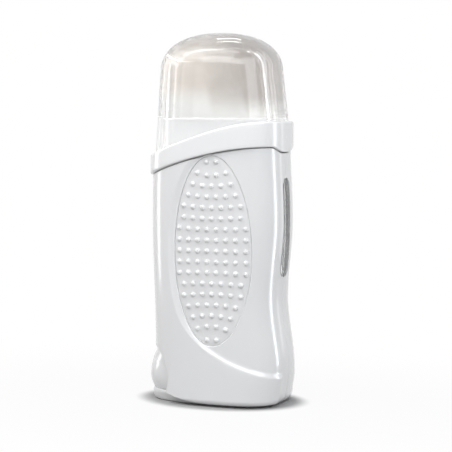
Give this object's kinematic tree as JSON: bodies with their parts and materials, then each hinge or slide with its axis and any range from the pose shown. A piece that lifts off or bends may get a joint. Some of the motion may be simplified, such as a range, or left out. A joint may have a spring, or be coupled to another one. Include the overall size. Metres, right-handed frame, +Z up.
{
  "type": "roll on wax heater",
  "caption": "Upright handheld heater for roll-on wax cartridges: waisted white body, dotted oval grips, swept collar, clear domed lift-off cap and side window.",
  "frame": {"origin": "centre of the body on the flat face that it stands on", "axes": "+Z up through the cap; -Y is the broad face with the grip; +X is the narrow side with the window, -X the side with the inlet"},
  "size_m": [0.0806, 0.0564, 0.2044],
  "materials": {
    "shell": "glossy moulded",
    "grip": "fine matt",
    "clear_cap": "clear, polished",
    "clear_window": "clear, polished",
    "socket": "moulded",
    "pins": "plated",
    "screws": "plated",
    "chamber": "drawn",
    "gasket": "silicone",
    "carrier": "moulded",
    "plates": "rolled",
    "elements": "fired",
    "bands": "spring",
    "fuse": "glazed",
    "lead_brown": "insulated",
    "lead_blue": "insulated"
  },
  "bodies": {
    "base": {"front_shell": "shell", "back_shell": "shell", "front_grip": "grip", "back_grip": "grip", "neck_frame": "shell", "window_lens": "clear_window", "inlet_housing": "shell", "inlet_socket": "socket", "inlet_pins": "pins", "base_cover": "shell", "base_screws": "screws", "chamber": "chamber", "chamber_gasket": "gasket", "chamber_bracket": "carrier", "heater_plate_front": "plates", "heater_plate_back": "plates", "ptc_front": "elements", "ptc_back": "elements", "heater_bands": "bands", "thermal_fuse": "fuse", "wire_live": "lead_brown", "wire_link": "lead_brown", "wire_neutral": "lead_blue"},
    "cap": {"cap": "clear_cap"}
  },
  "joints": [
    {"name": "cap_lift", "type": "slide", "parent": "base", "child": "cap", "axis": [0, 0, 1], "range_m": [0, 0.09]}
  ]
}
